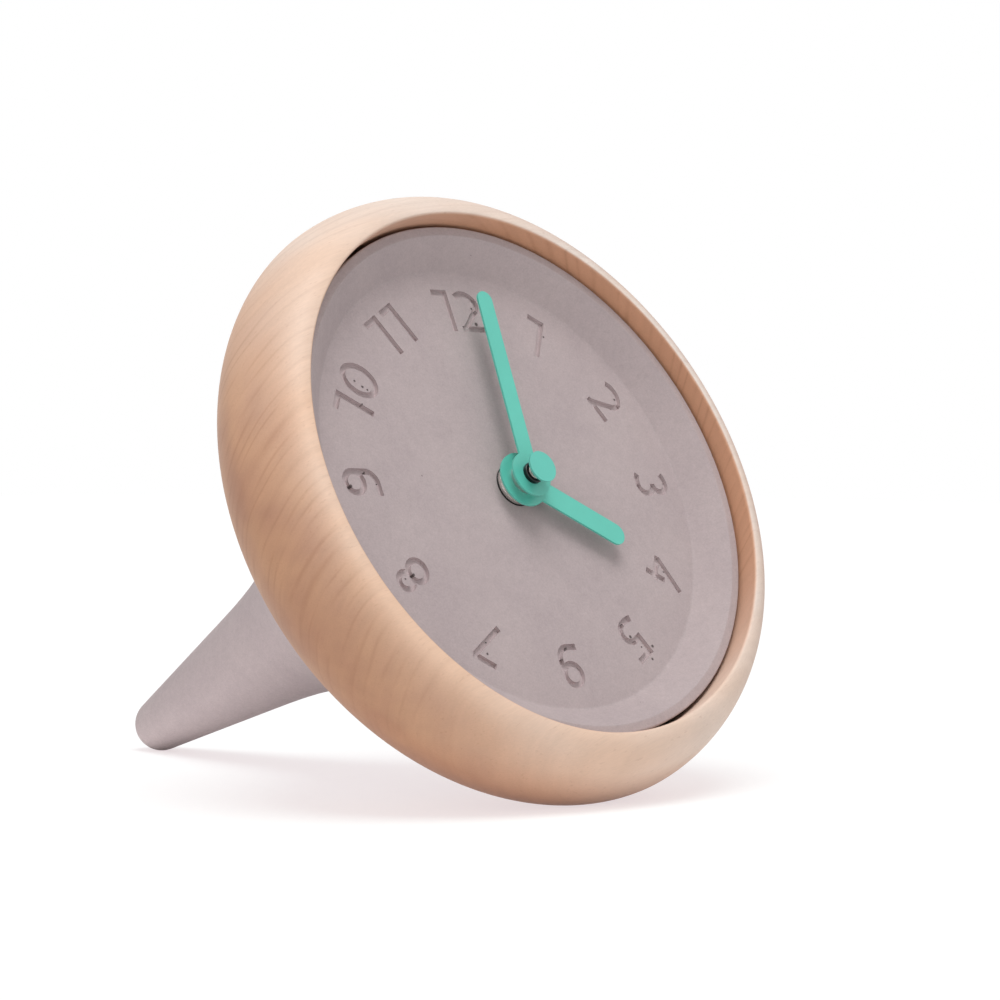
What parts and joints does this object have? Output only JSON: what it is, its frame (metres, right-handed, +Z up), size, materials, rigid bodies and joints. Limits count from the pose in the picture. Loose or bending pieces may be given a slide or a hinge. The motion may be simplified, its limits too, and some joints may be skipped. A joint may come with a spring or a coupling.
{
  "type": "desk clock",
  "caption": "Free-standing desk clock like a spinning top on its side: a turned wooden ring holds a dished cast dial with hands and movement, propped on a pointed cast foot that pulls off.",
  "frame": {"origin": "bottom centre of the whole clock's box, on the surface it stands on", "axes": "+Z up; the dial faces -Y and leans back, and the foot reaches back along +Y; +X towards the dial's 3"},
  "size_m": [0.14, 0.1654, 0.1291],
  "materials": {
    "beech": "satin",
    "concrete": "matte",
    "adhesive": "matte",
    "dark_steel": "satin",
    "steel": "satin",
    "plated_steel": "satin",
    "magnet": "polished",
    "ferrite": "satin",
    "mint_paint": "matte",
    "black_rubber": "matte",
    "black_plastic": "satin",
    "white_plastic": "satin",
    "copper_wire": "satin",
    "board": "satin",
    "resin": "gloss",
    "cell_wrap": "satin"
  },
  "bodies": {
    "foot": {"rear_foot": "concrete", "foot_magnets": "magnet"},
    "clock": {"wood_ring": "beech", "ring_magnets": "magnet", "concrete_dial": "concrete", "dial_bedding": "adhesive", "dial_washer": "dark_steel", "dial_nut": "steel", "rubber_washer": "black_rubber", "movement_front_plate": "black_plastic", "movement_case": "black_plastic", "train_bridge": "white_plastic", "stator": "steel", "coil_core": "steel", "coil_bobbin": "white_plastic", "coil_winding": "copper_wire", "circuit_board": "board", "driver_chip": "resin", "quartz_crystal": "plated_steel", "positive_contact": "plated_steel", "negative_contact": "plated_steel", "battery": "cell_wrap"},
    "minute_train": {"centre_wheel": "white_plastic", "minute_hand": "mint_paint", "minute_hand_collet": "steel", "minute_hand_nut": "dark_steel"},
    "hour_train": {"hour_wheel": "white_plastic", "hour_hand": "mint_paint", "hour_hand_collet": "steel"},
    "motion_wheel": {"motion_wheel": "white_plastic"},
    "third_wheel": {"third_wheel": "white_plastic"},
    "seconds_train": {"seconds_wheel": "white_plastic", "seconds_disc": "mint_paint", "seconds_stem": "dark_steel"},
    "intermediate_wheel": {"intermediate_wheel": "white_plastic"},
    "rotor": {"rotor_arbor": "white_plastic", "rotor_magnet": "ferrite"},
    "setting_knob": {"setting_knob": "black_plastic"}
  },
  "joints": [
    {"name": "foot_pull", "type": "slide", "parent": "foot", "child": "clock", "axis": [0, -0.8988, 0.4384], "range_m": [0, 0.05]},
    {"name": "minute_turn", "type": "hinge", "parent": "clock", "child": "minute_train", "pos_m": [0, -0.05153, 0.0688], "axis": [0, -0.8988, 0.4384], "continuous": true},
    {"name": "hour_turn", "type": "hinge", "parent": "clock", "child": "hour_train", "pos_m": [0, -0.04838, 0.06727], "axis": [0, -0.8988, 0.4384], "continuous": true},
    {"name": "motion_turn", "type": "hinge", "parent": "clock", "child": "motion_wheel", "pos_m": [0.00827, -0.03842, 0.06078], "axis": [0, -0.8988, 0.4384], "continuous": true},
    {"name": "third_turn", "type": "hinge", "parent": "clock", "child": "third_wheel", "pos_m": [-0.00609, -0.03488, 0.05822], "axis": [0, -0.8988, 0.4384], "continuous": true},
    {"name": "seconds_turn", "type": "hinge", "parent": "clock", "child": "seconds_train", "pos_m": [0, -0.03265, 0.0596], "axis": [0, -0.8988, 0.4384], "continuous": true},
    {"name": "intermediate_turn", "type": "hinge", "parent": "clock", "child": "intermediate_wheel", "pos_m": [0, -0.02894, 0.06402], "axis": [0, -0.8988, 0.4384], "continuous": true},
    {"name": "rotor_turn", "type": "hinge", "parent": "clock", "child": "rotor", "pos_m": [0, -0.02522, 0.06754], "axis": [0, -0.8988, 0.4384], "continuous": true},
    {"name": "knob_turn", "type": "hinge", "parent": "clock", "child": "setting_knob", "pos_m": [0.01655, -0.02683, 0.05351], "axis": [0, -0.8988, 0.4384], "continuous": true}
  ],
  "couplings": [
    {"joint": "hour_turn", "follows": "minute_turn", "ratio": 0.083333},
    {"joint": "motion_turn", "follows": "minute_turn", "ratio": -0.33333},
    {"joint": "third_turn", "follows": "minute_turn", "ratio": -8},
    {"joint": "seconds_turn", "follows": "minute_turn", "ratio": 60},
    {"joint": "intermediate_turn", "follows": "minute_turn", "ratio": -360},
    {"joint": "rotor_turn", "follows": "minute_turn", "ratio": 1800},
    {"joint": "knob_turn", "follows": "minute_turn", "ratio": 1}
  ]
}
